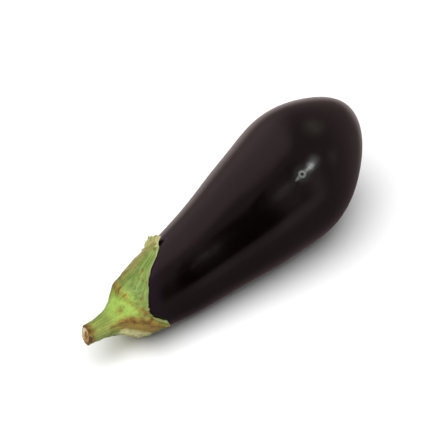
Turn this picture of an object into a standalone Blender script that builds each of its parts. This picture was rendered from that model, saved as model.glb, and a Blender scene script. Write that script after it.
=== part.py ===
# An eggplant lying on its side: the fruit, the calyx that caps its neck, and the cut stem.
# Metres, +Z up. The growth axis runs from the stem to the blossom end and is laid along +X.
# Each part is worked out in the fruit's own growth frame: z along the core from the shoulder pole,
# x to the side and y up. One parent empty then lays the whole thing down on its flat spot.
import math

import bmesh
import bpy
import numpy as np
from mathutils import Matrix, Vector

# Driving dimensions
FRUIT_LENGTH = 0.201      # shoulder pole to blossom end
STEM_RADIUS = 0.0069      # where the stem meets the calyx
STEM_LENGTH = 0.0115      # cut stem that stands out of the calyx
CUT_SLANT = 0.0026        # the stem is cut askew: its low side is this much longer
CUT_TURN = math.radians(36.0)  # side of the stem where the cut is shortest
JOINT = 0.016             # depth of the stem joint behind the shoulder pole
GAP = 0.0003              # clearance between touching parts
LEAN = math.radians(6.0)  # neck end hangs lower than the blossom end
FLAT_DEPTH = 0.0006       # how far the underside is pressed flat

# Girth law of the fruit: at the fraction t of its length, radius = 2 sqrt(t (1 - t)) * girth(t).
GIRTH_AT = (0.0, 0.05, 0.10, 0.15, 0.20, 0.30, 0.40, 0.50, 0.60, 0.70, 0.80, 0.90, 1.0)
GIRTH = (0.0520, 0.0413, 0.0350, 0.0327, 0.0317, 0.0311, 0.0329, 0.0363, 0.0402, 0.0454, 0.0477, 0.0465, 0.0454)

# The core bends away from a straight line by sway[0] t^2 + sway[1] t^3.
SIDE_SWAY = (0.0067, 0.0050)
UP_SWAY = (0.0053, 0.0095)

# Outside radius of the calyx: the stem flares into a funnel, a shoulder and then the sepals.
CALYX_AT = (-JOINT, -0.013, -0.008, -0.004, 0.0, 0.005, 0.010, 0.018, 0.028, 0.048)
CALYX_RADIUS = (STEM_RADIUS, 0.0076, 0.0094, 0.0124, 0.0157, 0.0192, 0.0210, 0.0228, 0.0244, 0.0276)

# Free edge of the calyx: how far the sepals reach past the shoulder pole, round the neck.
# Angles are in degrees: 0 to the side, 90 up. One long sepal on top and three short ones.
EDGE_AT = (5, 18, 32, 47, 61, 73, 88, 108, 144, 168, 186, 197,
           208, 228, 247, 262, 278, 297, 315, 329, 345, 365)
EDGE_REACH = (0.0120, 0.0275, 0.0400, 0.0420, 0.0405, 0.0352, 0.0237, 0.0145, 0.0065, 0.0100, 0.0140, 0.0098,
              0.0086, 0.0078, 0.0120, 0.0200, 0.0130, 0.0080, 0.0150, 0.0260, 0.0150, 0.0120)

# The neck and stem curl up and sideways behind this depth.
CURL_START = 0.014
CURL_SPAN = 0.050
CURL = (0.0021, 0.0080)

SKIN_COLOUR = (0.030, 0.018, 0.023, 1.0)
CALYX_COLOUR = (0.290, 0.370, 0.100, 1.0)
STEM_COLOUR = (0.250, 0.240, 0.070, 1.0)


def smooth_law(stations, values):
    # Natural cubic spline through the given values, as a function of position.
    x = np.array(stations, dtype=float)
    y = np.array(values, dtype=float)
    h = np.diff(x)
    n = len(x)
    system = np.eye(n)
    right = np.zeros(n)
    for i in range(1, n - 1):
        system[i, i - 1] = h[i - 1]
        system[i, i] = 2.0 * (h[i - 1] + h[i])
        system[i, i + 1] = h[i]
        right[i] = 6.0 * ((y[i + 1] - y[i]) / h[i] - (y[i] - y[i - 1]) / h[i - 1])
    bend = np.linalg.solve(system, right)

    def law(at):
        i = int(np.clip(np.searchsorted(x, at) - 1, 0, n - 2))
        a = (x[i + 1] - at) / h[i]
        b = (at - x[i]) / h[i]
        curve = ((a ** 3 - a) * bend[i] + (b ** 3 - b) * bend[i + 1]) * h[i] ** 2 / 6.0
        return float(a * y[i] + b * y[i + 1] + curve)

    return law


def edge_law(stations, values):
    # Closed outline: the spline runs over three turns so that it meets itself smoothly.
    at = np.array(stations[:-1], dtype=float)
    reach = np.array(values[:-1], dtype=float)
    turns = np.concatenate([at - 360.0, at, at + 360.0])
    law = smooth_law(turns, np.concatenate([reach, reach, reach]))
    return lambda degrees: law(degrees % 360.0)


girth = smooth_law(GIRTH_AT, GIRTH)
calyx_radius = smooth_law(CALYX_AT, CALYX_RADIUS)
edge_reach = edge_law(EDGE_AT, EDGE_REACH)


def core(z):
    # Core line of the fruit; it is straight behind the shoulder pole.
    t = max(z / FRUIT_LENGTH, 0.0)
    side = SIDE_SWAY[0] * t ** 2 + SIDE_SWAY[1] * t ** 3
    up = UP_SWAY[0] * t ** 2 + UP_SWAY[1] * t ** 3
    return Vector((side, up, z))


def fruit_point(t, angle, offset=0.0):
    # A point on the skin, or a little outside it.
    radius = 2.0 * math.sqrt(max(t * (1.0 - t), 0.0)) * girth(t) + offset
    return core(t * FRUIT_LENGTH) + Vector((radius * math.cos(angle), radius * math.sin(angle), 0.0))


def curled(z):
    # Core of the neck and stem with their curl, and the direction in which it runs.
    depth = max((CURL_START - z) / CURL_SPAN, 0.0)
    centre = core(z) + Vector((CURL[0], CURL[1], 0.0)) * depth ** 1.5
    slope = -1.5 * math.sqrt(depth) / CURL_SPAN
    run = Vector((CURL[0] * slope, CURL[1] * slope, 1.0)).normalized()
    return centre, run


def neck_point(z, radius, angle):
    # A point round the curled core, in the plane square to it.
    centre, run = curled(z)
    side = (Vector((1.0, 0.0, 0.0)) - run * run.x).normalized()
    up = run.cross(side)
    return centre + side * (radius * math.cos(angle)) + up * (radius * math.sin(angle))


def ball_to_part(name, segments, rings, law, material, collection, parent):
    # A UV sphere whose rings and segments are moved to law(ring, angle).
    bm = bmesh.new()
    bmesh.ops.create_uvsphere(bm, u_segments=segments, v_segments=rings, radius=1.0)
    for vert in bm.verts:
        ring = round(math.acos(max(-1.0, min(1.0, -vert.co.z))) / math.pi * rings)
        angle = math.atan2(vert.co.y, vert.co.x)
        vert.co = law(ring, angle)
    mesh = bpy.data.meshes.new(name)
    bm.to_mesh(mesh)
    bm.free()
    mesh.shade_smooth()
    mesh.set_sharp_from_angle(angle=math.radians(50.0))
    mesh.materials.append(material)
    part = bpy.data.objects.new(name, mesh)
    collection.objects.link(part)
    part.parent = parent
    return part


def surface(name, colour, roughness):
    material = bpy.data.materials.new(name)
    material.use_nodes = True
    shader = material.node_tree.nodes["Principled BSDF"]
    shader.inputs["Base Color"].default_value = colour
    shader.inputs["Roughness"].default_value = roughness
    shader.inputs["Metallic"].default_value = 0.0
    material.diffuse_color = colour
    return material


def make_fruit(collection, parent):
    # The fleshy fruit: an ellipsoid of revolution about the bent core, reshaped by the girth law.
    segments = 60
    rings = 38

    def law(ring, angle):
        t = (1.0 - math.cos(math.pi * ring / rings)) / 2.0
        return fruit_point(t, angle)

    skin = surface("skin", SKIN_COLOUR, 0.22)
    return ball_to_part("fruit", segments, rings, law, skin, collection, parent)


def make_calyx(collection, parent):
    # The cap of fused sepals. Its rings run over the joint face, out along the funnel and the
    # sepals to the free edge, and back inside the cap at GAP from the skin.
    segments = 80
    outside = 16
    inside = 14
    rings = 2 + outside + 1 + inside

    def edge(angle):
        return edge_reach(math.degrees(angle))

    def outside_point(step, angle):
        share = (step / outside) ** 1.15
        z = -JOINT + (edge(angle) + JOINT) * share
        rounding = 1.0 - 0.03 * share ** 12
        return neck_point(z, calyx_radius(z) * rounding, angle)

    def inside_point(share, angle):
        t = edge(angle) * (1.0 - share) ** 1.5 / FRUIT_LENGTH
        return fruit_point(t, angle, GAP) - Vector((0.0, 0.0, GAP * share ** 2))

    def law(ring, angle):
        if ring == 0:
            return neck_point(-JOINT, 0.0, angle)
        if ring == 1:
            return neck_point(-JOINT, STEM_RADIUS * 0.9, angle)
        if ring <= 2 + outside:
            return outside_point(ring - 2, angle)
        if ring < rings:
            return inside_point((ring - 3 - outside) / inside, angle)
        return Vector((0.0, 0.0, -GAP))

    green = surface("calyx", CALYX_COLOUR, 0.55)
    return ball_to_part("calyx", segments, rings, law, green, collection, parent)


def make_stem(collection, parent):
    # The cut stem: a short woody stalk that thins towards its cut end, where the rim is rounded
    # and the cut runs slightly askew.
    segments = 40
    profile = (
        (0.0, 0.0),
        (0.0, 0.45),
        (0.0, 0.70),
        (0.03, 0.78),
        (0.09, 0.83),
        (0.25, 0.84),
        (0.45, 0.86),
        (0.65, 0.89),
        (0.85, 0.94),
        (1.0, 1.0),
        (1.0, 0.90),
        (1.0, 0.50),
        (1.0, 0.0),
    )
    start = -JOINT - GAP - STEM_LENGTH

    def law(ring, angle):
        along, out = profile[ring]
        askew = (1.0 - along) * CUT_SLANT / 2.0 * (1.0 - out * math.cos(angle - CUT_TURN))
        return neck_point(start + along * STEM_LENGTH - askew, out * STEM_RADIUS, angle)

    bark = surface("stem", STEM_COLOUR, 0.7)
    return ball_to_part("stem", segments, len(profile) - 1, law, bark, collection, parent)


def lay_down(parent, parts):
    # Growth z goes to +X, x to +Y and y to +Z, then the neck end dips by LEAN. The parent is then
    # moved so that the box of the parts is centred on X and Y and the fruit dips FLAT_DEPTH below 0.
    swap = Matrix(((0, 0, 1, 0), (1, 0, 0, 0), (0, 1, 0, 0), (0, 0, 0, 1)))
    lean = Matrix.Rotation(-LEAN, 4, "Y")
    turned = lean @ swap
    corners = [[turned @ vert.co for vert in part.data.vertices] for part in parts]
    fruit_low = min(point.z for point in corners[0])
    everything = [point for points in corners for point in points]
    middle_x = (min(p.x for p in everything) + max(p.x for p in everything)) / 2.0
    middle_y = (min(p.y for p in everything) + max(p.y for p in everything)) / 2.0
    parent.matrix_world = Matrix.Translation((-middle_x, -middle_y, -fruit_low - FLAT_DEPTH)) @ turned


def press_flat(fruit, cutters):
    # The fruit rests on a small flat spot: a slab takes off everything below the ground plane.
    mesh = bpy.data.meshes.new("ground_cutter")
    bm = bmesh.new()
    size = FRUIT_LENGTH * 2.0
    bmesh.ops.create_cube(bm, size=size, matrix=Matrix.Translation((0.0, 0.0, -size / 2.0)))
    bm.to_mesh(mesh)
    bm.free()
    slab = bpy.data.objects.new("ground_cutter", mesh)
    slab.hide_render = True
    slab.display_type = "WIRE"
    cutters.objects.link(slab)
    cut = fruit.modifiers.new("flat_spot", "BOOLEAN")
    cut.operation = "DIFFERENCE"
    cut.solver = "EXACT"
    cut.object = slab


def main():
    for thing in list(bpy.data.objects):
        bpy.data.objects.remove(thing, do_unlink=True)
    eggplant = bpy.data.collections.new("eggplant")
    cutters = bpy.data.collections.new("cutters")
    bpy.context.scene.collection.children.link(eggplant)
    bpy.context.scene.collection.children.link(cutters)
    parent = bpy.data.objects.new("eggplant_rest", None)
    eggplant.objects.link(parent)
    fruit = make_fruit(eggplant, parent)
    calyx = make_calyx(eggplant, parent)
    stem = make_stem(eggplant, parent)
    lay_down(parent, (fruit, calyx, stem))
    press_flat(fruit, cutters)


main()
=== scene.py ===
import math

import bpy
import numpy as np
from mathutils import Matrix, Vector


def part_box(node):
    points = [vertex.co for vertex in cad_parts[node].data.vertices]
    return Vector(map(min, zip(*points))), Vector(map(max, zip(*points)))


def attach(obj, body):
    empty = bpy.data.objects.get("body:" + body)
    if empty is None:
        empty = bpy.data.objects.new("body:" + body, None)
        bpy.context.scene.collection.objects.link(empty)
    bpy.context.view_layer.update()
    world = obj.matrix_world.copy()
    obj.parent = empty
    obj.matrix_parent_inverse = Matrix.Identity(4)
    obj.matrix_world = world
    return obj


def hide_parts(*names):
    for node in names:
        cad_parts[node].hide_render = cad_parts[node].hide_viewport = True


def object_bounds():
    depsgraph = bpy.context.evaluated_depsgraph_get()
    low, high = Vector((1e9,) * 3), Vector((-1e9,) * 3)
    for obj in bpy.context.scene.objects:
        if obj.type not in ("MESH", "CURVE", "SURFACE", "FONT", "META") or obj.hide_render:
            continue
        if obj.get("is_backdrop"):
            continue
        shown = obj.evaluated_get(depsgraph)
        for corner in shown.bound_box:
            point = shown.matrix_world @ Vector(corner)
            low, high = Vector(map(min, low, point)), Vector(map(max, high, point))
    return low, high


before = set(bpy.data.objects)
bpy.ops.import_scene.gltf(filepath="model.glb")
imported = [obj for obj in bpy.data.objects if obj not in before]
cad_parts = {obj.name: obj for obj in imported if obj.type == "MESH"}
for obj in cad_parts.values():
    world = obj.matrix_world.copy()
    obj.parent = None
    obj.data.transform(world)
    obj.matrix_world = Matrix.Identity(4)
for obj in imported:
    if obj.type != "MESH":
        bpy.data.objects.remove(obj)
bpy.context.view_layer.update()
print("frame loaded with", ", ".join(sorted(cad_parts)))

# How the whole eggplant grew and how it lies. Growth frame: x to the side, y up, z along the core
# from the shoulder of the fruit to its blossom end.
growth = {
    "fruitLength": 0.201,
    "lean": math.radians(6.0),  # the neck end hangs low
    "girthAt": (0.0, 0.05, 0.10, 0.15, 0.20, 0.30, 0.40, 0.50, 0.60, 0.70, 0.80, 0.90, 1.0),
    "girth": (0.0520, 0.0413, 0.0350, 0.0327, 0.0317, 0.0311, 0.0329, 0.0363, 0.0402, 0.0454, 0.0477,
              0.0465, 0.0454),
    "sideSway": (0.0067, 0.0050),
    "upSway": (0.0053, 0.0095),
    "curlStart": 0.014,  # the neck and stem curl behind this depth
    "curlSpan": 0.050,
    "curl": (0.0021, 0.0080),
}


def splineLaw(stations, values):
    # Natural cubic spline: second derivatives solve the usual three-band system, ends free.
    x = np.array(stations, dtype=float)
    y = np.array(values, dtype=float)
    h = np.diff(x)
    count = len(x)
    inner = np.arange(1, count - 1)
    system = np.eye(count)
    system[inner, inner - 1] = h[:-1]
    system[inner, inner] = 2.0 * (h[:-1] + h[1:])
    system[inner, inner + 1] = h[1:]
    right = np.zeros(count)
    right[1:-1] = 6.0 * np.diff(np.diff(y) / h)
    bend = np.linalg.solve(system, right)

    def law(at):
        at = np.asarray(at, dtype=float)
        i = np.clip(np.searchsorted(x, at) - 1, 0, count - 2)
        a = (x[i + 1] - at) / h[i]
        b = (at - x[i]) / h[i]
        curve = ((a**3 - a) * bend[i] + (b**3 - b) * bend[i + 1]) * h[i] ** 2 / 6.0
        return a * y[i] + b * y[i + 1] + curve

    return law


def smoothStep(low, high, value):
    # 0 below low, 1 above high, and 3 s^2 - 2 s^3 between.
    s = np.clip((value - low) / (high - low), 0.0, 1.0)
    return s * s * (3.0 - 2.0 * s)


def ripple(angle, along, seed, waves, aroundMost, alongMost):
    # A sum of sine waves that closes round the axis: sin(n angle + m along + phase), n a whole number.
    # The result is scaled to about -1 to 1.
    dice = np.random.default_rng(seed)
    total = np.zeros(np.broadcast(angle, along).shape)
    for n, m, phase in zip(
        dice.integers(-aroundMost, aroundMost + 1, waves),
        dice.uniform(-alongMost, alongMost, waves),
        dice.uniform(0.0, 2.0 * math.pi, waves),
    ):
        total = total + np.sin(n * angle + m * along + phase)
    return total / math.sqrt(waves)


girthLaw = splineLaw(growth["girthAt"], growth["girth"])


def coreLine(z):
    # Core of the fruit: sway[0] t^2 + sway[1] t^3 to the side and up, straight behind the shoulder.
    t = np.clip(z / growth["fruitLength"], 0.0, None)
    side = growth["sideSway"][0] * t**2 + growth["sideSway"][1] * t**3
    up = growth["upSway"][0] * t**2 + growth["upSway"][1] * t**3
    return np.stack(np.broadcast_arrays(side, up, z), axis=-1)


def skinRadius(z):
    # Half-thickness of the fruit: 2 sqrt(t (1 - t)) times the girth law.
    t = np.clip(z / growth["fruitLength"], 0.0, 1.0)
    return 2.0 * np.sqrt(t * (1.0 - t)) * girthLaw(t)


def roundCore(z, radius, angle):
    # A point at radius and angle round the core line, in the plane of constant z.
    z, radius, angle = np.broadcast_arrays(z, radius, angle)
    ring = np.stack([radius * np.cos(angle), radius * np.sin(angle), np.zeros(z.shape)], axis=-1)
    return coreLine(z) + ring


def roundNeck(z, radius, angle):
    # A point round the curled core of the neck and stem, in the plane square to the curl.
    z, radius, angle = np.broadcast_arrays(z, radius, angle)
    curl = np.array([growth["curl"][0], growth["curl"][1], 0.0])
    depth = np.clip((growth["curlStart"] - z) / growth["curlSpan"], 0.0, None)
    centre = coreLine(z) + curl * (depth**1.5)[..., None]
    run = np.array([0.0, 0.0, 1.0]) - curl * (1.5 * np.sqrt(depth) / growth["curlSpan"])[..., None]
    run = run / np.linalg.norm(run, axis=-1, keepdims=True)
    side = np.array([1.0, 0.0, 0.0]) - run * run[..., :1]
    side = side / np.linalg.norm(side, axis=-1, keepdims=True)
    up = np.cross(run, side)
    return centre + radius[..., None] * (np.cos(angle)[..., None] * side + np.sin(angle)[..., None] * up)


def layDown(points):
    # Growth z goes to +X, x to +Y and y to +Z, and the neck end dips by the lean.
    c = math.cos(growth["lean"])
    s = math.sin(growth["lean"])
    side, up, along = points[..., 0], points[..., 1], points[..., 2]
    return np.stack([along * c - up * s, side, along * s + up * c], axis=-1)


def restingPlace():
    # Where the growth frame's origin goes: the plain fruit is centred on the CAD fruit's box in X
    # and Y, and its top meets the top of that box.
    low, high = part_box("fruit")
    z = (1.0 - np.cos(np.linspace(0.0, math.pi, 200)))[:, None] * growth["fruitLength"] / 2.0
    skin = layDown(roundCore(z, skinRadius(z), np.linspace(0.0, 2.0 * math.pi, 241)[None, :])).reshape(-1, 3)
    middle = (np.array(low) + np.array(high)) / 2.0
    place = middle - (skin.min(axis=0) + skin.max(axis=0)) / 2.0
    place[2] = high[2] - skin[:, 2].max()
    return place


restPlace = restingPlace()


def toRest(points):
    # Growth frame to the resting object, and nothing below the ground it lies on.
    placed = layDown(points) + restPlace
    placed[..., 2] = np.maximum(placed[..., 2], 0.0)
    return placed


def closedSkin(name, rings, firstPole, lastPole, facts):
    # A grid of rings closed round the axis and by a pole at each end. facts holds one array for
    # each attribute, with a value for every ring point; a pole takes the mean of its nearest ring.
    count, around = rings.shape[:2]
    points = np.concatenate([firstPole[None], rings.reshape(-1, 3), lastPole[None]])
    spot = 1 + np.arange(count * around).reshape(count, around)
    here, onward = spot[:-1], spot[1:]
    quads = np.stack(
        [here, np.roll(here, -1, axis=1), np.roll(onward, -1, axis=1), onward], axis=-1
    ).reshape(-1, 4)
    last = len(points) - 1
    startFan = np.stack([np.zeros(around, int), np.roll(spot[0], -1), spot[0]], axis=-1)
    endFan = np.stack([np.full(around, last), spot[-1], np.roll(spot[-1], -1)], axis=-1)
    mesh = bpy.data.meshes.new(name)
    corners = np.concatenate([quads.ravel(), startFan.ravel(), endFan.ravel()])
    sizes = np.concatenate([np.full(len(quads), 4), np.full(2 * around, 3)])
    mesh.vertices.add(len(points))
    mesh.vertices.foreach_set("co", points.astype(np.float32).ravel())
    mesh.loops.add(len(corners))
    mesh.loops.foreach_set("vertex_index", corners.astype(np.int32))
    mesh.polygons.add(len(sizes))
    mesh.polygons.foreach_set("loop_start", np.concatenate([[0], np.cumsum(sizes)[:-1]]).astype(np.int32))
    mesh.update(calc_edges=True)
    mesh.validate()
    mesh.shade_smooth()
    for label, values in facts.items():
        flat = values.reshape(count, around, -1)
        ends = [flat[0].mean(axis=0)[None], flat.reshape(count * around, -1), flat[-1].mean(axis=0)[None]]
        data = np.concatenate(ends).astype(np.float32)
        if data.shape[1] == 3:
            mesh.attributes.new(label, "FLOAT_VECTOR", "POINT").data.foreach_set("vector", data.ravel())
        else:
            mesh.attributes.new(label, "FLOAT", "POINT").data.foreach_set("value", data.ravel())
    piece = bpy.data.objects.new(name, mesh)
    bpy.context.scene.collection.objects.link(piece)
    return piece


# The free edge of the calyx, used by both the calyx and the skin beside it. Angles in degrees.
sepals = {
    "edgeAt": (5, 18, 32, 47, 61, 73, 88, 108, 144, 168, 186, 197, 208, 228, 247, 262, 278, 297, 315,
               329, 345),
    "edgeReach": (0.0120, 0.0275, 0.0400, 0.0420, 0.0405, 0.0352, 0.0237, 0.0145, 0.0065, 0.0100, 0.0140,
                  0.0098, 0.0086, 0.0078, 0.0120, 0.0200, 0.0130, 0.0080, 0.0150, 0.0260, 0.0150),
    "midribs": (56, 186, 262, 329),
    "bays": (5, 144, 218, 297, 365),
    # where the edge curls off the skin: angle, width in radians, lift, how far back it starts
    "curls": (
        (44, 0.30, 0.0020, 0.0090),
        (66, 0.13, 0.0013, 0.0040),
        (34, 0.12, 0.0008, 0.0035),
        (186, 0.22, 0.0006, 0.0060),
        (262, 0.35, 0.0010, 0.0080),
        (329, 0.35, 0.0018, 0.0110),
    ),
    "fraying": 0.00030,
    "tipFraying": 0.0013,
}


def overRings(around, *blocks):
    # One value for each ring point, from blocks of rings: how many rings, then their values.
    return np.concatenate([np.broadcast_to(value, (rings, around)) for rings, value in blocks])


def band(value, start, full, fullEnd, end):
    # 1 between full and fullEnd, with a smooth step from 0 on either side.
    return smoothStep(start, full, value) * smoothStep(end, fullEnd, value)


def closedLaw(degrees, values):
    # A law that repeats every turn: the spline runs over three turns and the middle one is used.
    at = np.array(degrees, dtype=float)
    law = splineLaw(np.concatenate([at - 360, at, at + 360]), np.tile(np.array(values), 3))
    return lambda given: law(np.mod(given, 360.0))


edgeReach = closedLaw(sepals["edgeAt"], sepals["edgeReach"])


# Colours and shader helpers.


def paint(red, green, blue):
    # A screen colour, 0 to 255, as the linear colour that a shader takes.
    share = np.array([red, green, blue]) / 255.0
    linear = np.where(share <= 0.04045, share / 12.92, ((share + 0.055) / 1.055) ** 2.4)
    return (*[float(v) for v in linear], 1.0)


def addNode(tree, kind, **settings):
    node = tree.nodes.new(kind)
    for name, value in settings.items():
        setattr(node, name, value)
    return node


def feed(tree, socket, value):
    # Links a socket to another socket, or sets it to a plain value.
    if isinstance(value, bpy.types.NodeSocket):
        tree.links.new(value, socket)
    else:
        socket.default_value = value


def maths(tree, operation, a, b=0.0, clamp=False):
    node = addNode(tree, "ShaderNodeMath", operation=operation, use_clamp=clamp)
    feed(tree, node.inputs[0], a)
    feed(tree, node.inputs[1], b)
    return node.outputs[0]


def times(tree, value, *others):
    for other in others:
        value = maths(tree, "MULTIPLY", value, other)
    return value


def plus(tree, value, *others):
    for other in others:
        value = maths(tree, "ADD", value, other)
    return value


def minus(tree, value, *others):
    for other in others:
        value = maths(tree, "SUBTRACT", value, other)
    return value


def most(tree, value, *others):
    for other in others:
        value = maths(tree, "MAXIMUM", value, other)
    return value


def ramp(tree, value, low, high, toLow=0.0, toHigh=1.0):
    # Smooth step of value from low to high, as a mask from toLow to toHigh.
    node = addNode(tree, "ShaderNodeMapRange", interpolation_type="SMOOTHSTEP")
    for socket, number in zip(node.inputs[:5], (value, low, high, toLow, toHigh)):
        feed(tree, socket, number)
    return node.outputs[0]


def blendColour(tree, share, first, second, mode="MIX"):
    node = addNode(tree, "ShaderNodeMix", data_type="RGBA", blend_type=mode)
    feed(tree, node.inputs[0], share)
    feed(tree, node.inputs[6], first)
    feed(tree, node.inputs[7], second)
    return node.outputs[2]


def coats(tree, colour, layers):
    # Colours laid over one another, each with its share.
    for share, over in layers:
        colour = blendColour(tree, share, colour, over)
    return colour


def axesOf(tree, vector):
    node = addNode(tree, "ShaderNodeSeparateXYZ")
    feed(tree, node.inputs[0], vector)
    return node.outputs


def lengthOf(tree, vector):
    node = addNode(tree, "ShaderNodeVectorMath", operation="LENGTH")
    feed(tree, node.inputs[0], vector)
    return node.outputs["Value"]


def fact(tree, name, vector=False):
    node = addNode(tree, "ShaderNodeAttribute", attribute_name=name)
    return node.outputs["Vector"] if vector else node.outputs["Fac"]


def placeOf(tree):
    return addNode(tree, "ShaderNodeTexCoord").outputs["Object"]


def newGroup(name, inputs, outputs):
    group = bpy.data.node_groups.new(name, "ShaderNodeTree")
    for label, kind, value in inputs:
        socket = group.interface.new_socket(label, in_out="INPUT", socket_type="NodeSocket" + kind)
        if value is not None:
            socket.default_value = value
    for label, kind in outputs:
        group.interface.new_socket(label, in_out="OUTPUT", socket_type="NodeSocket" + kind)
    return group, group.nodes.new("NodeGroupInput"), group.nodes.new("NodeGroupOutput")


def useGroup(tree, group, **inputs):
    node = addNode(tree, "ShaderNodeGroup", node_tree=group)
    for name, value in inputs.items():
        feed(tree, node.inputs[name], value)
    return node.outputs


def patchesGroup():
    # Soft irregular patches: a noise cut between two levels. Size is patches a metre.
    group, start, end = newGroup(
        "softPatches",
        [("Place", "Vector", None), ("Size", "Float", 60.0), ("Detail", "Float", 4.0),
         ("Low", "Float", 0.45), ("High", "Float", 0.65), ("Warp", "Float", 0.0)],
        [("Mask", "Float"), ("Raw", "Float")],
    )
    noise = addNode(group, "ShaderNodeTexNoise")
    feed(group, noise.inputs["Vector"], start.outputs["Place"])
    feed(group, noise.inputs["Scale"], start.outputs["Size"])
    feed(group, noise.inputs["Detail"], start.outputs["Detail"])
    feed(group, noise.inputs["Distortion"], start.outputs["Warp"])
    mask = ramp(group, noise.outputs[0], start.outputs["Low"], start.outputs["High"])
    feed(group, end.inputs["Mask"], mask)
    feed(group, end.inputs["Raw"], noise.outputs[0])
    return group


def fibresGroup():
    # Fine lines that run along the growth direction: noise stretched along the third axis of Flow.
    group, start, end = newGroup(
        "fibreLines",
        [("Flow", "Vector", None), ("Across", "Float", 40.0), ("Along", "Float", 4.0),
         ("Sharpness", "Float", 0.12)],
        [("Lines", "Float"), ("Raw", "Float")],
    )
    given = start.outputs
    axes = axesOf(group, given["Flow"])
    join = addNode(group, "ShaderNodeCombineXYZ")
    for k, scale in enumerate(("Across", "Across", "Along")):
        feed(group, join.inputs[k], times(group, axes[k], given[scale]))
    noise = addNode(group, "ShaderNodeTexNoise")
    feed(group, noise.inputs["Vector"], join.outputs[0])
    noise.inputs["Scale"].default_value = 1.0
    noise.inputs["Detail"].default_value = 3.0
    low = minus(group, 0.5, given["Sharpness"])
    high = plus(group, 0.5, given["Sharpness"])
    feed(group, end.inputs["Lines"], ramp(group, noise.outputs[0], low, high))
    feed(group, end.inputs["Raw"], noise.outputs[0])
    return group


def specksGroup():
    # Small round specks such as pores: cells whose middle lies nearer than Radius, in cell widths.
    group, start, end = newGroup(
        "fineSpecks",
        [("Place", "Vector", None), ("Size", "Float", 400.0), ("Radius", "Float", 0.2)],
        [("Mask", "Float")],
    )
    cells = addNode(group, "ShaderNodeTexVoronoi")
    feed(group, cells.inputs["Vector"], start.outputs["Place"])
    feed(group, cells.inputs["Scale"], start.outputs["Size"])
    half = times(group, start.outputs["Radius"], 0.5)
    feed(group, end.inputs["Mask"], ramp(group, cells.outputs["Distance"], start.outputs["Radius"], half))
    return group


patches = patchesGroup()
fibres = fibresGroup()
specks = specksGroup()


def newMaterial(name):
    material = bpy.data.materials.new(name)
    material.use_nodes = True
    shader = material.node_tree.nodes["Principled BSDF"]
    return material, material.node_tree, shader


def addBump(tree, shader, height, strength, distance):
    bump = addNode(tree, "ShaderNodeBump")
    bump.inputs["Strength"].default_value = strength
    bump.inputs["Distance"].default_value = distance
    feed(tree, bump.inputs["Height"], height)
    tree.links.new(bump.outputs[0], shader.inputs["Normal"])


# Fruit.

fruitLook = {
    "around": 380,
    "along": 240,
    "ribs": 0.00010,  # faint long ribs
    "lumps": 0.00020,  # unevenness of the flesh
    "dents": 16,
    "dentDepth": 0.00007,
    "scarDepth": 0.0011,  # dimple at the blossom end
    "scarRadius": 0.0055,
    "buttonRadius": 0.0021,
    "deep": paint(3, 1, 1),
    "warm": paint(8, 4, 4),
    "violet": paint(20, 9, 25),
    "olive": paint(16, 13, 8),
    "cork": paint(104, 82, 56),
    # painted highlight: pale grey of the ring and streak round the pit
    "callusGlint": paint(122, 128, 122),
    "pit": paint(4, 3, 3),
    "blemishGlintAt": (0.0395, -0.0250, 0.0730),
    "blemishGlintRadius": 0.0013,
    "glintStreakReach": 0.0068,  # a pale streak runs both ways from the blemish and tapers out; its pale colour is a painted highlight
    "glintStreakWidth": 0.0026,
    "glowHazeRadius": 0.0075,
    # painted glow: a grey haze round the highlight
    "glowHaze": paint(44, 46, 48),
    "roughness": (0.10, 0.145),
    "index": 1.45,
    "wax": (0.25, 0.08),  # weight and roughness of the waxy bloom
    "bump": (0.35, 0.0002),
}


def fruitSurface():
    # Grid of angle and position along the core, closer together towards both poles. The radius is
    # the skin's, plus faint ribs, low lumps and a few round dents; the blossom end has a dimple
    # with a small raised button in it.
    look = fruitLook
    share = (np.arange(1, look["along"] + 1) / (look["along"] + 1))[:, None]
    angle = np.linspace(0.0, 2.0 * math.pi, look["around"], endpoint=False)[None, :]
    t = (1.0 - np.cos(math.pi * share)) / 2.0
    z = t * growth["fruitLength"]
    plain = skinRadius(z)
    middle = np.sin(math.pi * share) ** 0.8
    ribs = (np.cos(5.0 * angle + 1.1 + 1.4 * t) + 0.5 * np.cos(7.0 * angle + 4.0 - 2.0 * t)) * (1.25 - t)
    lumps = ripple(angle, t, 11, 14, 4, 11.0)
    radius = plain + middle * (look["ribs"] * ribs + look["lumps"] * lumps)
    dice = np.random.default_rng(5)
    for at, turn, size in zip(
        dice.uniform(0.22, 0.93, look["dents"]),
        dice.uniform(0.0, 2.0 * math.pi, look["dents"]),
        dice.uniform(0.003, 0.009, look["dents"]),
    ):
        across = np.abs(np.angle(np.exp(1j * (angle - turn)))) * plain
        away = np.hypot(across, z - at * growth["fruitLength"]) / size
        radius = radius - look["dentDepth"] * np.exp(-(away**2))
    rings = roundCore(z, radius, angle)
    dimple = look["scarDepth"] * np.exp(-((radius / look["scarRadius"]) ** 2))
    ragged = 1.0 + 0.18 * np.sin(5.0 * angle + 0.6) + 0.08 * np.sin(11.0 * angle)
    button = 0.0005 * np.exp(-((radius / (look["buttonRadius"] * ragged)) ** 4))
    atEnd = smoothStep(0.8, 0.95, t)
    rings[..., 2] += atEnd * (button - dimple)
    lastPole = coreLine(np.array(growth["fruitLength"])) + np.array([0.0, 0.0, 0.0005 - look["scarDepth"]])
    reach = edgeReach(np.degrees(angle))
    facts = {
        "flow": np.stack(np.broadcast_arrays(np.cos(angle), np.sin(angle), t * 6.0), axis=-1),
        "nearCalyx": 1.0 - smoothStep(0.0, 0.016, z - reach),
        "scar": atEnd * np.exp(-((radius / (look["buttonRadius"] * 1.15 * ragged)) ** 6)),
        "tipward": np.broadcast_to(t, radius.shape),
    }
    firstPole = coreLine(np.array(0.0))
    return closedSkin("fruit_skin", toRest(rings), toRest(firstPole), toRest(lastPole), facts)


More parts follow.
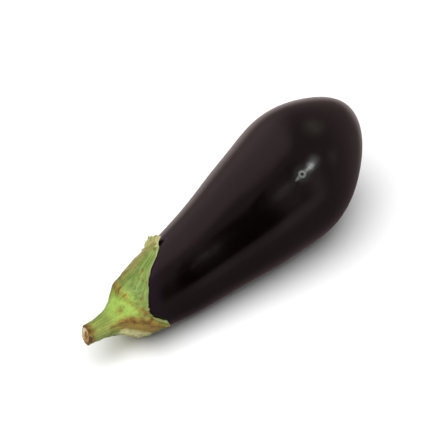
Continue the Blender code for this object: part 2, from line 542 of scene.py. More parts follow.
def blemishGlintMasks(tree, place, raggedNoise):
    # A round pit with a pale raised ring, a ragged pale streak through it that tapers off both ways along the
    # fruit, and a soft grey haze round them. The pit and the raised ring are real relief; the pale colour of the
    # ring and the streak is a painted highlight, and the grey haze is a painted glow round it. The glint mask is
    # the ring and the streak together.
    look = fruitLook
    size = look["blemishGlintRadius"]
    apart = addNode(tree, "ShaderNodeVectorMath", operation="SUBTRACT")
    feed(tree, apart.inputs[0], place)
    apart.inputs[1].default_value = look["blemishGlintAt"]
    axes = axesOf(tree, apart.outputs[0])
    away = lengthOf(tree, apart.outputs[0])
    pit = ramp(tree, away, size * 0.95, size * 0.50)
    notPit = minus(tree, 1.0, pit)
    # the ring is raised in the bump and painted pale as a highlight
    ring = times(tree, ramp(tree, away, size * 2.2, size * 1.4), notPit)
    along = maths(tree, "DIVIDE", maths(tree, "ABSOLUTE", axes[0]), look["glintStreakReach"])
    taper = maths(tree, "SUBTRACT", 1.0, along, clamp=True)
    overEdge = minus(tree, maths(tree, "ABSOLUTE", axes[1]), times(tree, taper, look["glintStreakWidth"] / 2.0))
    # painted highlight: a pale streak through the pit
    glintStreak = times(
        tree, ramp(tree, overEdge, 0.0004, -0.0002), ramp(tree, away, look["glowHazeRadius"], size * 3.0),
        ramp(tree, raggedNoise, 0.38, 0.56, 0.25, 0.9), notPit,
    )
    # painted glow: grey haze fading out round the highlight
    glowHaze = ramp(tree, away, look["glowHazeRadius"], size, 0.0, 0.55)
    return pit, ring, most(tree, ring, glintStreak), glowHaze


def skinMaterial():
    look = fruitLook
    material, tree, shader = newMaterial("aubergine_skin")
    place = placeOf(tree)
    flow = fact(tree, "flow", vector=True)
    broad = useGroup(tree, patches, Place=place, Size=22.0, Detail=2.0, Low=0.40, High=0.66)["Mask"]
    middling = useGroup(tree, patches, Place=place, Size=75.0, Detail=5.0, Warp=0.6)["Raw"]
    raggedNoise = useGroup(tree, patches, Place=place, Size=900.0, Detail=4.0)["Raw"]
    streaks = useGroup(tree, fibres, Flow=flow, Across=26.0, Along=1.6, Sharpness=0.16)["Lines"]
    fineStreaks = useGroup(tree, fibres, Flow=flow, Across=95.0, Along=5.0, Sharpness=0.10)
    pores = useGroup(tree, specks, Place=place, Size=520.0, Radius=0.16)["Mask"]
    pit, ring, callusGlint, glowHaze = blemishGlintMasks(tree, place, raggedNoise)
    scar = times(tree, fact(tree, "scar"), ramp(tree, middling, 0.2, 0.6, 0.6, 1.0))
    colour = coats(tree, look["deep"], [
        (broad, look["warm"]),
        (times(tree, streaks, 0.35), look["warm"]),
        (times(tree, ramp(tree, fact(tree, "tipward"), 0.72, 1.0), middling), look["olive"]),
        (times(tree, fact(tree, "nearCalyx"), 0.5), look["violet"]),
        (times(tree, pores, 0.35), look["warm"]),
        # painted glow round the highlight
        (glowHaze, look["glowHaze"]),
        # painted highlight on the ring and streak, over a real dark pit
        (times(tree, callusGlint, 0.6), look["callusGlint"]),
        (pit, look["pit"]),
        (scar, look["cork"]),
    ])
    feed(tree, shader.inputs["Base Color"], colour)
    rough = ramp(tree, middling, 0.3, 0.7, *look["roughness"])
    rough = plus(tree, rough, times(tree, fineStreaks["Lines"], 0.03))
    rough = maths(tree, "ADD", rough, times(tree, scar, 0.5), clamp=True)
    feed(tree, shader.inputs["Roughness"], rough)
    shader.inputs["IOR"].default_value = look["index"]
    shader.inputs["Coat Weight"].default_value = look["wax"][0]
    shader.inputs["Coat Roughness"].default_value = look["wax"][1]
    raised = plus(tree, times(tree, fineStreaks["Raw"], 0.5), times(tree, middling, 1.2))
    raised = plus(tree, raised, times(tree, ring, 1.5))
    height = minus(tree, raised, times(tree, pores, 0.25), times(tree, pit, 3.0))
    addBump(tree, shader, height, *look["bump"])
    return material


# Green tissue shared by the calyx and the stem.

tissue = {
    "ribTwist": math.radians(41.0),  # the ribs swing round as they run back into the stem
    "twistEnds": (0.016, -0.010),
    "stalkRidges": 0.00020,
    "stalkKnots": 0.00012,
    "stalkFade": (-0.004, -0.014),  # the stem's ridges run out over the funnel
    "lime": paint(160, 190, 88),
    "fresh": paint(130, 164, 58),
    "green": paint(102, 134, 58),
    "pale": paint(134, 154, 82),
    "shade": paint(66, 90, 36),
    "olive": paint(104, 110, 46),
    # pale cream of the calyx underside: partly its own paler tissue, partly painted light thrown up from the
    # floor
    "paleBounceLit": paint(228, 224, 162),
    "khaki": paint(178, 168, 118),
    "moss": paint(154, 164, 84),
    # straw: the sepal's own pale edge, and on the underside also painted floor light
    "straw": paint(196, 194, 140),
    "brown": paint(134, 100, 40),
    "tan": paint(168, 134, 66),
    "rust": paint(82, 56, 26),
    "darkBrown": paint(60, 40, 20),
}


def ribTwist(z):
    # Angle by which the ribs lag behind, growing smoothly from the shoulder back into the stem.
    return tissue["ribTwist"] * smoothStep(*tissue["twistEnds"], z)


def stalkRelief(lag, z):
    # Long ridges and small knots of the stalk: a few cosines of the lagging angle and a ripple.
    ridges = np.cos(5.0 * lag + 0.4) + 0.6 * np.cos(9.0 * lag + 2.0) + 0.35 * np.cos(17.0 * lag)
    knots = ripple(lag, z, 31, 26, 13, 1900.0)
    return tissue["stalkRidges"] * ridges + tissue["stalkKnots"] * knots


def tissueGroup():
    # Living green skin: broad tints, mottling, lengthwise lines and brown scurf. Browning adds scurf.
    group, start, end = newGroup(
        "greenTissue",
        [("Place", "Vector", None), ("Flow", "Vector", None), ("Light", "Color", tissue["pale"]),
         ("Middle", "Color", tissue["green"]), ("Dark", "Color", tissue["shade"]), ("Browning", "Float", 0.0),
         ("Scurf", "Float", 0.5), ("Lining", "Float", 1.0)],
        [("Color", "Color"), ("Height", "Float"), ("Grain", "Float")],
    )
    given = start.outputs
    place, flow, lining = given["Place"], given["Flow"], given["Lining"]
    tint = useGroup(group, patches, Place=place, Size=95.0, Detail=3.0, Low=0.40, High=0.62, Warp=0.4)["Mask"]
    mottle = useGroup(group, patches, Place=place, Size=330.0, Detail=5.0, Low=0.46, High=0.62, Warp=0.7)["Mask"]
    grain = useGroup(group, patches, Place=place, Size=1100.0, Detail=5.0, Low=0.38, High=0.66)
    scurf = useGroup(group, patches, Place=place, Size=150.0, Detail=6.0, Low=0.56, High=0.68, Warp=1.0)
    lines = useGroup(group, fibres, Flow=flow, Across=13.0, Along=0.9, Sharpness=0.09)
    hairs = useGroup(group, fibres, Flow=flow, Across=44.0, Along=2.4, Sharpness=0.12)
    pores = useGroup(group, specks, Place=place, Size=560.0, Radius=0.20)["Mask"]
    dry = maths(group, "ADD", times(group, scurf["Mask"], given["Scurf"]), given["Browning"], clamp=True)
    dry = times(group, dry, ramp(group, scurf["Raw"], 0.30, 0.50, 0.58, 1.0), 0.92)
    colour = coats(group, given["Middle"], [
        (tint, given["Light"]),
        (times(group, mottle, 0.30), given["Dark"]),
        (times(group, hairs["Lines"], lining, 0.62), given["Dark"]),
        (times(group, lines["Lines"], lining, 0.80), given["Light"]),
        (times(group, grain["Mask"], 0.15), tissue["olive"]),
        (dry, blendColour(group, mottle, tissue["brown"], tissue["rust"])),
        (times(group, pores, 0.45), tissue["darkBrown"]),
    ])
    height = plus(
        group, hairs["Raw"], grain["Raw"], times(group, lines["Raw"], 1.6), times(group, scurf["Mask"], 0.5)
    )
    feed(group, end.inputs["Color"], colour)
    feed(group, end.inputs["Height"], height)
    feed(group, end.inputs["Grain"], grain["Raw"])
    return group


greenTissue = tissueGroup()


# Calyx.

calyxLook = {
    "around": 420,
    "outside": 172,
    "inside": 60,
    "joint": 0.016,  # the stem joins this far behind the shoulder
    "gap": 0.0003,  # between the calyx and the skin
    "profileAt": (-0.016, -0.013, -0.008, -0.004, 0.0, 0.005, 0.010, 0.018, 0.028, 0.048),
    "profile": (0.0069, 0.0076, 0.0094, 0.0124, 0.0157, 0.0192, 0.0210, 0.0228, 0.0244, 0.0276),
    "midribs": (0.00075, 0.00130, 0.00080, 0.00080),  # height of each rib
    "ribWidths": (0.14, 0.21, 0.16, 0.16),  # as a share of the half-sepal
    "ribBrown": (0.60, 1.0, 0.7, 0.7),
    # shallow hollows: angle in degrees, place along the core, size, depth
    "hollows": (
        (214, 0.0055, 0.0075, 0.0019),
        (112, 0.0100, 0.0060, 0.0005),
        (70, 0.0200, 0.0070, 0.0005),
        (20, 0.0150, 0.0060, 0.0006),
        (300, -0.0020, 0.0060, 0.0008),
    ),
    "bayGroove": 0.00060,
    "bayGrooveWidth": 0.16,  # as a share of the way from the groove to the midrib
    "knuckle": 0.00065,  # raised fold where the sepals leave the funnel
    "foldAt": (5, 26, 46, 63, 89, 109, 125, 144, 165, 186, 218, 262, 297, 329),
    "foldReach": (0.0008, 0.0024, 0.0028, 0.0002, -0.0005, -0.0004, 0.0010, 0.0034, 0.0034, 0.0020, 0.0004,
                  0.0018, 0.0, 0.0018),
    "foldWidth": 0.0014,
    "crease": 0.00045,  # hollow just past the fold
    "creaseAt": 0.0034,
    "creaseWidth": 0.0018,
    "veins": 0.00011,
    "veinCount": 6.5,  # veins from a midrib to the sepal's edge
    # sides that look different: direction in degrees, spread in radians
    "brownFold": (80, 0.95),
    "paleEdge": (90, 0.85),
    "dryTip": (36, 0.30),
    # sides between turns in degrees and between places along the core, each fading in and out
    # the next entry is the underside below the lower ridge, painted pale: partly its own paler tissue, partly
    # painted light from the floor
    "paleBounceLitUnderside": ((205.0, 228.0, 320.0, 345.0), (-0.015, -0.008, 0.002, 0.010)),
    "weathered": ((167.0, 186.0, 208.0, 234.0), (-0.0165, -0.009, 0.005, 0.012)),
    "lumps": 0.00022,
    "wrinkles": 0.00015,
    "tipCrumple": 0.00105,
    "edgeRoll": 0.0013,
    # brown scars: angle in degrees, place along the core, size, strength
    "scars": (
        (46, 0.0028, 0.0028, 1.4),
        (63, 0.0001, 0.0026, 1.3),
        (89, -0.0005, 0.0020, 1.2),
        (109, -0.0005, 0.0013, 0.7),
        (105, -0.0067, 0.0022, 0.9),
        (134, 0.0023, 0.0021, 1.0),
        (144, 0.0038, 0.0020, 1.0),
        (120, 0.0018, 0.0012, 0.7),
        (158, 0.0046, 0.0026, 1.1),
        (154, -0.0140, 0.0020, 0.8),
        (176, 0.0080, 0.0022, 0.9),
        (118, 0.0060, 0.0014, 0.6),
        (34, 0.0080, 0.0036, 1.2),
        (55, 0.0170, 0.0016, 0.9),
        (50, 0.0119, 0.0013, 0.8),
        (63, 0.0362, 0.0013, 1.6),
        (53, 0.0388, 0.0012, 1.4),
        (70, 0.0330, 0.0010, 1.0),
        (44, 0.0390, 0.0011, 1.2),
        (46, 0.0330, 0.0016, 0.8),
        (56, 0.0290, 0.0013, 0.7),
        (240, 0.0050, 0.0030, 0.7),
        (300, 0.0020, 0.0026, 0.7),
        (340, 0.0130, 0.0030, 0.7),
    ),
    "inner": paint(176, 184, 130),
    "roughness": (0.42, 0.62),
    "index": 1.4,
    "bump": (0.6, 0.0003),
}

calyxProfile = splineLaw(calyxLook["profileAt"], calyxLook["profile"])
foldReach = closedLaw(calyxLook["foldAt"], calyxLook["foldReach"])


def turnApart(angle, degrees):
    # Signed difference from a direction, wrapped to half a turn either way.
    return np.angle(np.exp(1j * (angle - math.radians(degrees))))


def bellTowards(angle, degrees, spread):
    # 1 in one direction round the core, falling off as a bell over the spread, in radians.
    return np.exp(-((turnApart(angle, degrees) / spread) ** 2))


def bellAt(angle, z, degrees, along, size):
    # 1 at a place on the calyx, falling off as a bell over the given size along the surface.
    sideways = turnApart(angle, degrees) * calyxProfile(np.clip(z, -0.016, 0.048))
    return np.exp(-(np.hypot(sideways, z - along) / size) ** 2)


def acrossSepal(lag, z):
    # Two arrays: 0 on a sepal's midrib and 1 on its edge or on the groove between two sepals,
    # following the outline so that equal values run from the stem to the tip like veins; and the
    # number of the sepal.
    degrees = np.mod(np.degrees(lag) - 5.0, 360.0) + 5.0
    degrees, z = np.broadcast_arrays(degrees, z)
    share = np.zeros(degrees.shape)
    number = np.zeros(degrees.shape, dtype=int)
    for k, middle in enumerate(sepals["midribs"]):
        for bay in (sepals["bays"][k], sepals["bays"][k + 1]):
            samples = np.linspace(bay, middle, 60)
            reach = np.maximum.accumulate(edgeReach(samples))
            limit = np.interp(z, reach, samples)
            offset = (degrees - middle) / (bay - middle)
            within = (offset >= 0.0) & (offset <= 1.0)
            span = np.clip(np.abs((limit - middle) / (bay - middle)), 0.03, 1.0)
            share = np.where(within, np.clip(offset / span, 0.0, 1.0), share)
            number = np.where(within, k, number)
    return share, number


def edgeCurl(angle, z):
    # How far the sepal stands off the skin: for each curl, a bell round its angle times a curve
    # that starts some way back from the edge.
    total = np.zeros(np.broadcast(angle, z).shape)
    for degrees, width, lift, run in sepals["curls"]:
        end = float(edgeReach(degrees))
        total = total + lift * bellTowards(angle, degrees, width) * smoothStep(end - run, end, z) ** 1.4
    return total


def calyxRelief(angle, z):
    # Height that stands out of the calyx's smooth outside, in metres, and the masks that colour it.
    look = calyxLook
    lag = angle + ribTwist(z)
    across, number = acrossSepal(lag, z)
    ribHeight = np.array(look["midribs"])[number]
    ribWidth = np.array(look["ribWidths"])[number]
    midrib = np.exp(-((across / ribWidth) ** 2)) * smoothStep(-0.016, -0.007, z)
    groove = np.exp(-(((1.0 - across) / look["bayGrooveWidth"]) ** 2)) * band(z, -0.016, -0.004, 0.002, 0.012)
    pastFold = z - foldReach(np.degrees(angle))
    behindSepal = 0.60 + 0.40 * np.exp(-((across / 0.55) ** 2))
    fold = np.exp(-((pastFold / look["foldWidth"]) ** 2)) * behindSepal
    crease = np.exp(-(((pastFold - look["creaseAt"]) / look["creaseWidth"]) ** 2))
    crease = crease * behindSepal * (1.0 - midrib)
    veinTurns = look["veinCount"] * across + 0.25 * ripple(angle, z, 3, 8, 3, 160.0)
    veinWave = np.cos(2.0 * math.pi * veinTurns)
    onSepal = smoothStep(0.004, 0.016, z)
    offStem = smoothStep(-0.016, -0.004, z)
    tip = smoothStep(0.026, 0.037, z)
    hollow = sum(depth * bellAt(angle, z, *where) for *where, depth in look["hollows"])
    height = (
        ribHeight * midrib
        - look["bayGroove"] * groove
        + look["knuckle"] * fold
        - look["crease"] * crease
        + look["veins"] * veinWave * onSepal
        + look["lumps"] * ripple(angle, z, 14, 22, 9, 420.0) * offStem
        + look["wrinkles"] * ripple(angle, z, 8, 36, 26, 1300.0) * offStem
        + look["tipCrumple"] * ripple(angle, z, 19, 20, 40, 1600.0) * tip
        + stalkRelief(lag, z) * smoothStep(*tissue["stalkFade"], z)
        - hollow
    )
    ribColour = np.exp(-((across / (1.5 * ribWidth)) ** 2)) * np.array(look["ribBrown"])[number]
    ribColour = ribColour * smoothStep(-0.018, -0.006, z)
    return height, lag, across, ribColour, fold


def scarMask(angle, z):
    # Brown scars: bells at the listed places, their size made uneven by a ripple.
    wobble = 1.0 + 0.30 * ripple(angle, z, 27, 16, 30, 1500.0)
    total = np.zeros(wobble.shape)
    for degrees, along, size, strength in calyxLook["scars"]:
        total = np.maximum(total, strength * bellAt(angle, z, degrees, along, size * wobble))
    return np.clip(total, 0.0, 1.0)


def calyxSurface():
    # Rings run over the joint face, out along the funnel and the sepals to the free edge, and back
    # inside the cap. Outside: the profile's radius plus relief, rolled in over the last stretch.
    # Inside: the skin's radius plus the gap. Both stand off the skin where the edge curls.
    look = calyxLook
    angle = np.linspace(0.0, 2.0 * math.pi, look["around"], endpoint=False)[None, :]
    reach = edgeReach(np.degrees(angle))
    fray = sepals["fraying"] + sepals["tipFraying"] * smoothStep(0.034, 0.042, reach)
    reach = reach + fray * ripple(angle, 0.0, 21, 22, 60, 1.0)
    share = (1.0 - (1.0 - np.linspace(0.0, 1.0, look["outside"])) ** 1.35)[:, None]
    z = -look["joint"] + (reach + look["joint"]) * share
    height, lag, across, ribColour, fold = calyxRelief(angle, z)
    bare = np.where(z > 0.0, skinRadius(z) + look["gap"], 0.0)
    full = calyxProfile(z) + height
    rolled = np.clip(1.0 - (reach - z) / look["edgeRoll"], 0.0, 1.0)
    thick = np.maximum(full - bare, 0.0008) * np.sqrt(1.0 - 0.90 * rolled**2)
    radius = np.where(rolled > 0.0, bare + thick, full) + edgeCurl(angle, z)
    outer = roundNeck(z, radius, angle)
    back = np.linspace(1.0, 0.02, look["inside"])[:, None] ** 1.4
    innerZ = reach * back
    inner = roundCore(innerZ, skinRadius(innerZ) + look["gap"] + edgeCurl(angle, innerZ), angle)
    inner[..., 2] -= look["gap"] * (1.0 - back)
    faceShare = np.array([0.3, 0.6, 0.85])[:, None]
    face = roundNeck(np.full_like(faceShare, -look["joint"]), faceShare * radius[:1], angle)
    rings = np.concatenate([face, outer, inner])

    def over(outside, atFace, atInside):
        return overRings(
            look["around"], (len(face), atFace), (look["outside"], outside), (look["inside"], atInside)
        )

    onStem = smoothStep(-0.002, -0.012, z)
    plainFlow = np.stack(np.broadcast_arrays(np.cos(lag), np.sin(lag), z * 30.0), axis=-1)
    veinFlow = np.stack(np.broadcast_arrays(across, 0.15 * np.sin(2.0 * angle), z * 30.0), axis=-1)
    flow = veinFlow + (plainFlow - veinFlow) * onStem[..., None]
    dryTip = bellTowards(angle, *look["dryTip"]) * smoothStep(0.010, 0.016, z)
    paleEdge = 0.35 + 0.65 * bellTowards(angle, *look["paleEdge"])
    brownFold = 0.35 + 0.55 * bellTowards(angle, *look["brownFold"])
    lagDegrees = np.mod(np.degrees(lag), 360.0)
    # below marks the underside painted pale as light from the floor, partly its own paler tissue; weathered is
    # real browning
    below, weathered = (
        band(lagDegrees, *turns) * band(z, *places) for turns, places in (look["paleBounceLitUnderside"], look["weathered"])
    )
    facts = {
        "flow": np.pad(flow, ((len(face), look["inside"]), (0, 0), (0, 0))),
        "midrib": over(ribColour, 0.0, 0.0),
        "fold": over(fold * brownFold, 0.0, 0.0),
        "edge": over(smoothStep(0.0014, 0.0004, reach - z) * paleEdge, 0.0, 0.2),
        "under": over(0.0, 1.0, 1.0),
        "outward": over(z / 0.042, -0.38, 0.0),
        "scars": over(scarMask(angle, z), 0.0, 0.0),
        "below": over(below, 0.0, 0.0),
        "weathered": over(weathered, 0.0, 0.0),
        "dryTip": over(np.maximum(dryTip, smoothStep(0.034, 0.040, z)), 0.0, 0.0),
    }
    firstPole = roundNeck(np.array(-look["joint"]), np.array(0.0), np.array(0.0))
    lastPole = np.array([0.0, 0.0, -look["gap"]])
    return closedSkin("calyx_cap", toRest(rings), toRest(firstPole), toRest(lastPole), facts)


def calyxMaterial():
    look = calyxLook
    material, tree, shader = newMaterial("calyx_green")
    place = placeOf(tree)
    outward, below, scars, weathered = (fact(tree, name) for name in ("outward", "below", "scars", "weathered"))
    onFunnel = ramp(tree, outward, 0.12, -0.02)
    onStem = ramp(tree, outward, -0.22, -0.36)
    tanned = times(tree, weathered, 0.85)
    # the below mask lays pale colours on the underside: partly its own paler tissue, partly painted light from
    # the floor
    light = coats(tree, tissue["pale"], [
        (onFunnel, tissue["lime"]), (below, tissue["paleBounceLit"]), (tanned, tissue["tan"]), (onStem, tissue["moss"]),
    ])
    middle = coats(tree, tissue["green"], [
        (onFunnel, tissue["fresh"]), (below, tissue["straw"]), (tanned, tissue["tan"]),
        (onStem, tissue["green"]),
    ])
    dark = coats(tree, tissue["shade"], [
        (onFunnel, tissue["green"]), (tanned, tissue["brown"]), (onStem, tissue["shade"]),
    ])
    green = useGroup(
        tree, greenTissue, Place=place, Flow=fact(tree, "flow", vector=True),
        Light=light, Middle=middle, Dark=dark,
        Browning=most(tree, fact(tree, "midrib"), fact(tree, "fold"), scars, times(tree, weathered, 0.45)),
        Scurf=ramp(tree, outward, 0.05, 0.30, 0.12, 0.55),
        Lining=most(tree, ramp(tree, outward, -0.02, 0.14, 0.30, 1.0), ramp(tree, outward, -0.12, -0.30)),
    )
    dryPatch = useGroup(tree, patches, Place=place, Size=300.0, Detail=4.0)["Raw"]
    dry = times(
        tree, fact(tree, "dryTip"), ramp(tree, dryPatch, 0.36, 0.56, 0.25, 0.85), minus(tree, 1.0, scars)
    )
    colour = coats(tree, green["Color"], [
        (dry, tissue["khaki"]),
        (times(tree, fact(tree, "edge"), 0.70), tissue["straw"]),
        (fact(tree, "under"), look["inner"]),
    ])
    feed(tree, shader.inputs["Base Color"], colour)
    feed(tree, shader.inputs["Roughness"], ramp(tree, green["Grain"], 0.3, 0.7, *look["roughness"]))
    shader.inputs["IOR"].default_value = look["index"]
    addBump(tree, shader, green["Height"], *look["bump"])
    return material


# Stem.

stemLook = {
    "around": 260,
    "side": 120,
    "face": 46,
    "length": 0.0113,
    "radius": 0.0069,
    "thinAt": (0.0, 0.08, 0.25, 0.45, 0.65, 0.85, 1.0),  # share of the way from the cut to the calyx
    "thin": (0.81, 0.83, 0.84, 0.86, 0.89, 0.94, 1.0),
    "slant": 0.0024,  # the cut is askew: its low side is this much longer
    "slantTurn": math.radians(36.0),
    "hollow": 0.0009,  # the cut face is dished
    "torn": 0.00014,
    "cream": paint(236, 222, 178),
    "pale": paint(196, 168, 116),
    "tan": paint(150, 112, 66),
    "ring": paint(112, 72, 40),
    "bark": paint(118, 84, 44),
    "sapwood": (30, 1.1),  # the cut's pale side: direction in degrees, spread in radians
    "roughness": (0.6, 0.85),
    "bump": (0.7, 0.0003),
}

stemThin = splineLaw(stemLook["thinAt"], stemLook["thin"])


def stemSurface():
    # The cut face is a dished disc with torn fibres and growth rings, askew to the stalk; its rim
    # rolls over into the side, which carries long ridges and small knots and runs on to the calyx.
    look = stemLook
    start = -calyxLook["joint"] - calyxLook["gap"] - look["length"]
    angle = np.linspace(0.0, 2.0 * math.pi, look["around"], endpoint=False)[None, :]
    out = np.linspace(0.02, 0.985, look["face"])[:, None]  # the rim itself is the side's first ring
    share = np.linspace(0.0, 1.0, look["side"])[:, None]

    def cutPlane(outShare):
        return start - look["slant"] / 2.0 * (1.0 - outShare * np.cos(angle - look["slantTurn"]))

    end = start + look["length"] + calyxLook["gap"] * 0.7
    z = cutPlane(1.0) * (1.0 - share) + end * share
    lag = angle + ribTwist(z)
    swell = 0.00015 * np.exp(-(((share - 0.05) / 0.07) ** 2))
    radius = look["radius"] * stemThin(share) + stalkRelief(lag, z) + swell
    rollIn = np.sqrt(1.0 - 0.30 * np.clip(1.0 - share / 0.08, 0.0, 1.0) ** 2)
    side = roundNeck(z, radius * rollIn, angle)
    rim = radius[0] * rollIn[0]
    torn = look["torn"] * (ripple(angle, out * 9.0, 41, 30, 22, 6.0) + 0.5 * np.sin(out * 44.0))
    dish = look["hollow"] * (1.0 - out**2) ** 1.5
    faceZ = cutPlane(out) + dish + torn * np.clip((1.0 - out) * 6.0, 0.0, 1.0)
    face = roundNeck(faceZ, out * rim, angle)
    back = roundNeck(np.full((3, 1), end), np.array([0.9, 0.6, 0.25])[:, None] * radius[-1:], angle)
    rings = np.concatenate([face, side, back])
    sapwood = bellTowards(angle, *look["sapwood"]) * band(out, 0.40, 0.60, 0.95, 1.0)
    barkFlow = np.stack(np.broadcast_arrays(np.cos(lag), np.sin(lag), z * 30.0), axis=-1)
    faceFlow = np.stack(np.broadcast_arrays(out * np.cos(angle), out * np.sin(angle), 0.0 * out), axis=-1)

    def over(atFace, onSide, atBack):
        return overRings(look["around"], (look["face"], atFace), (look["side"], onSide), (len(back), atBack))

    facts = {
        "flow": np.pad(np.concatenate([faceFlow, barkFlow]), ((0, len(back)), (0, 0), (0, 0))),
        "cutFace": over(smoothStep(1.0, 0.94, out), 0.0, 0.0),
        "fromMiddle": over(out, 1.0, 1.0),
        "sapwood": over(sapwood, 0.0, 0.0),
        "fromCut": over(0.0, share, 1.0),
    }
    middle = float(start - look["slant"] / 2.0)
    firstPole = roundNeck(np.array(middle + look["hollow"]), np.array(0.0), np.array(0.0))
    lastPole = roundNeck(np.array(end), np.array(0.0), np.array(0.0))
    return closedSkin("stem_stalk", toRest(rings), toRest(firstPole), toRest(lastPole), facts)


def stemMaterial():
    look = stemLook
    material, tree, shader = newMaterial("stem_stalk")
    place = placeOf(tree)
    fromMiddle = fact(tree, "fromMiddle")
    mottle = useGroup(tree, patches, Place=place, Size=260.0, Detail=5.0, Low=0.42, High=0.62, Warp=0.5)
    wander = plus(tree, fact(tree, "fromCut"), times(tree, minus(tree, mottle["Raw"], 0.5), 0.9))
    bark = useGroup(
        tree, greenTissue, Place=place, Flow=fact(tree, "flow", vector=True),
        Light=tissue["moss"], Middle=tissue["green"], Dark=tissue["shade"],
        Browning=ramp(tree, wander, 0.42, 0.08, 0.0, 0.9),
    )
    core = useGroup(tree, patches, Place=place, Size=420.0, Detail=5.0)["Raw"]
    pith = times(tree, ramp(tree, fromMiddle, 0.62, 0.30), ramp(tree, core, 0.4, 0.6, 0.5, 1.0), 0.75)
    growthRings = ramp(tree, maths(tree, "SINE", times(tree, fromMiddle, 34.0)), 0.1, 1.0, 0.0, 0.45)
    wood = coats(tree, look["pale"], [
        (mottle["Mask"], look["tan"]),
        (growthRings, look["tan"]),
        (pith, look["ring"]),
        (ramp(tree, fromMiddle, 0.86, 0.97), tissue["darkBrown"]),
        (times(tree, fact(tree, "sapwood"), 0.9), look["cream"]),
    ])
    colour = coats(tree, bark["Color"], [
        (ramp(tree, wander, 0.30, 0.05, 0.0, 0.6), look["bark"]),
        (ramp(tree, wander, 0.08, 0.0, 0.0, 0.7), tissue["darkBrown"]),
        (fact(tree, "cutFace"), wood),
    ])
    feed(tree, shader.inputs["Base Color"], colour)
    feed(tree, shader.inputs["Roughness"], ramp(tree, bark["Grain"], 0.3, 0.7, *look["roughness"]))
    addBump(tree, shader, bark["Height"], *look["bump"])
    return material


# Put the pieces in place.


def install(piece, material, node):
    piece.data.materials.append(material)
    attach(piece, "root")
    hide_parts(node)
    return piece


fruit = install(fruitSurface(), skinMaterial(), "fruit")
print("fruit:", len(fruit.data.polygons), "faces")
calyx = install(calyxSurface(), calyxMaterial(), "calyx")
print("calyx:", len(calyx.data.polygons), "faces")
stem = install(stemSurface(), stemMaterial(), "stem")
print("stem:", len(stem.data.polygons), "faces")


# Floor, light and camera.

stage = {
    "floorSize": 12.0,
    "floorGrey": 0.86,
    "floorFade": (0.9, 2.6),  # the floor turns into the pale backdrop between these distances
    # turns are degrees round the object, 0 along +X and 90 along +Y
    "key": {"turn": 190.0, "height": 75.0, "distance": 4.0, "size": 5.0, "power": 290.0},
    "fill": {"turn": -130.0, "height": 40.0, "distance": 1.6, "size": 1.0, "power": 2.5},
    "dim": (0.25, (1.0, 0.71, 0.72)),  # what the glossy skin sees where no softbox stands
    "dimRise": (-55.0, 5.0, 0.5, 1.0),  # from the lower height and share to the upper ones
    # softboxes reflected in the skin: turn, half width, height, half height, soft edge and slant,
    # all in degrees, then strength and tint
    "softboxes": (
        (96.0, 28.0, 46.0, 38.0, 17.0, 0.0, 0.37, (1.0, 0.72, 0.74)),
        (50.0, 42.0, -20.0, 15.0, 10.0, 0.0, 0.42, (1.0, 0.88, 0.84)),
        (16.0, 18.0, 51.0, 7.0, 12.0, 0.0, 0.34, (0.97, 1.0, 0.80)),
        (-76.0, 8.0, 18.0, 26.0, 7.0, 0.0, 0.17, (1.0, 0.82, 0.80)),
        (-40.0, 6.0, 26.0, 10.0, 8.0, 0.0, 0.18, (1.0, 0.84, 0.80)),
        (-64.0, 9.0, 54.0, 7.0, 7.0, 0.0, 1.30, (0.95, 0.98, 1.0)),
        (-74.0, 4.5, 52.5, 4.2, 1.5, 0.0, 9.0, (0.97, 1.0, 1.0)),
    ),
    "flag": (-97.5, 9.0, 45.0, 34.0, 4.5, 0.3),  # a black window, given as the softboxes are
    "skyWhite": 0.95,
    "fillSky": 0.06,
}


def tinted(level, tint=(1.0, 1.0, 1.0)):
    return tuple(level * c for c in tint) + (1.0,)


def aim(turn, height):
    # Unit vector towards a direction given by its turn about Z from +X and its height, in degrees.
    a, e = math.radians(turn), math.radians(height)
    return Vector((math.cos(a) * math.cos(e), math.sin(a) * math.cos(e), math.sin(e)))


def addFloor():
    half = stage["floorSize"] / 2.0
    mesh = bpy.data.meshes.new("floor")
    corners = [(-half, -half, 0), (half, -half, 0), (half, half, 0), (-half, half, 0)]
    mesh.from_pydata(corners, [], [(0, 1, 2, 3)])
    floor = bpy.data.objects.new("floor", mesh)
    bpy.context.scene.collection.objects.link(floor)
    material, tree, shader = newMaterial("pale_floor")
    far = ramp(tree, lengthOf(tree, placeOf(tree)), *stage["floorFade"])
    black, white = tinted(0.0), tinted(stage["skyWhite"])
    feed(tree, shader.inputs["Base Color"], blendColour(tree, far, tinted(stage["floorGrey"]), black))
    feed(tree, shader.inputs["Emission Color"], blendColour(tree, far, black, white))
    shader.inputs["Emission Strength"].default_value = 1.0
    shader.inputs["Roughness"].default_value = 0.9
    shader.inputs["Specular IOR Level"].default_value = 0.0
    mesh.materials.append(material)
    floor.visible_glossy = False
    floor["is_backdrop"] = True


def addSoftbox(name):
    low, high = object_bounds()
    middle = (Vector(low) + Vector(high)) / 2.0
    given = stage[name]
    light = bpy.data.lights.new(name, "AREA")
    light.shape = "DISK"
    light.size = given["size"]
    light.energy = given["power"]
    box = bpy.data.objects.new(name, light)
    away = aim(given["turn"], given["height"])
    box.location = middle + away * given["distance"]
    box.rotation_euler = away.to_track_quat("Z", "Y").to_euler()
    box.visible_glossy = False
    bpy.context.scene.collection.objects.link(box)


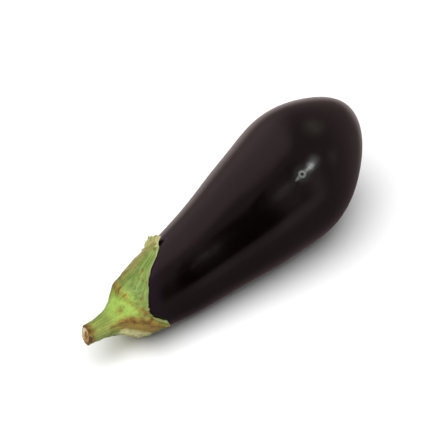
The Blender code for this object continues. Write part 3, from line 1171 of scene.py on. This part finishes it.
def softWindowGroup():
    # 1 inside a soft-edged window of directions, 0 outside. Angles are in degrees; the turn wraps.
    group, start, end = newGroup(
        "softWindow",
        [("Turn", "Float", 0.0), ("Height", "Float", 0.0), ("TurnMiddle", "Float", 0.0),
         ("TurnHalf", "Float", 10.0), ("HeightMiddle", "Float", 0.0), ("HeightHalf", "Float", 10.0),
         ("Soft", "Float", 5.0), ("Slant", "Float", 0.0)],
        [("Mask", "Float")],
    )
    given = start.outputs
    raised = minus(group, given["Height"], given["HeightMiddle"])
    turned = minus(group, given["Turn"], given["TurnMiddle"])
    turned = plus(group, turned, times(group, given["Slant"], raised))
    turned = maths(group, "FLOORED_MODULO", plus(group, turned, 540.0), 360.0)
    turned = maths(group, "ABSOLUTE", minus(group, turned, 180.0))
    raised = maths(group, "ABSOLUTE", raised)
    masks = []
    for off, half in ((turned, given["TurnHalf"]), (raised, given["HeightHalf"])):
        outer = plus(group, half, given["Soft"])
        inner = minus(group, half, given["Soft"])
        masks.append(ramp(group, off, outer, inner))
    feed(group, end.inputs["Mask"], times(group, masks[0], masks[1]))
    return group


def addSurroundings():
    # What the glossy skin mirrors is a dim studio with a few softboxes and one black flag. The
    # camera sees a plain pale backdrop, and dull surfaces get a faint even fill.
    world = bpy.data.worlds.new("studio")
    bpy.context.scene.world = world
    world.use_nodes = True
    tree = world.node_tree
    window = softWindowGroup()
    axes = axesOf(tree, addNode(tree, "ShaderNodeTexCoord").outputs["Generated"])
    turn = maths(tree, "DEGREES", maths(tree, "ARCTAN2", axes[1], axes[0]))
    height = maths(tree, "DEGREES", maths(tree, "ARCSINE", axes[2]))

    def inWindow(*where):
        names = ("TurnMiddle", "TurnHalf", "HeightMiddle", "HeightHalf", "Soft", "Slant")
        return useGroup(tree, window, Turn=turn, Height=height, **dict(zip(names, where)))["Mask"]

    black, white = tinted(0.0), tinted(stage["skyWhite"])
    total = blendColour(tree, ramp(tree, height, *stage["dimRise"]), black, tinted(*stage["dim"]))
    for *where, strength, tint in stage["softboxes"]:
        total = blendColour(tree, inWindow(*where), total, tinted(strength, tint), "ADD")
    total = blendColour(tree, inWindow(*stage["flag"]), total, black)
    path = addNode(tree, "ShaderNodeLightPath")
    total = blendColour(tree, path.outputs["Is Glossy Ray"], tinted(stage["fillSky"]), total)
    total = blendColour(tree, path.outputs["Is Camera Ray"], total, white)
    background = tree.nodes["Background"]
    feed(tree, background.inputs["Color"], total)
    background.inputs["Strength"].default_value = 1.0


cameraSet = {
    "azimuth": -42.2,  # degrees from a view along +Y
    "elevation": 45.0,
    "distance": 0.8,
    "lens": 108.25,
    "offset": (-0.0156, 0.0094, -0.0035),  # aim point from the middle of the fruit's box
}


def addCamera():
    a, e = math.radians(cameraSet["azimuth"]), math.radians(cameraSet["elevation"])
    back = Vector((math.sin(a) * math.cos(e), -math.cos(a) * math.cos(e), math.sin(e)))
    low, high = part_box("fruit")
    middle = (Vector(low) + Vector(high)) / 2.0
    lens = bpy.data.cameras.new("camera")
    lens.lens = cameraSet["lens"]
    lens.sensor_width = 36.0
    camera = bpy.data.objects.new("camera", lens)
    camera.location = middle + Vector(cameraSet["offset"]) + back * cameraSet["distance"]
    camera.rotation_euler = back.to_track_quat("Z", "Y").to_euler()
    bpy.context.scene.collection.objects.link(camera)
    bpy.context.scene.camera = camera


addFloor()
addSoftbox("key")
addSoftbox("fill")
addSurroundings()
addCamera()
bpy.context.scene.view_settings.view_transform = "Standard"
print("floor, lights and camera placed")

bpy.context.view_layer.update()
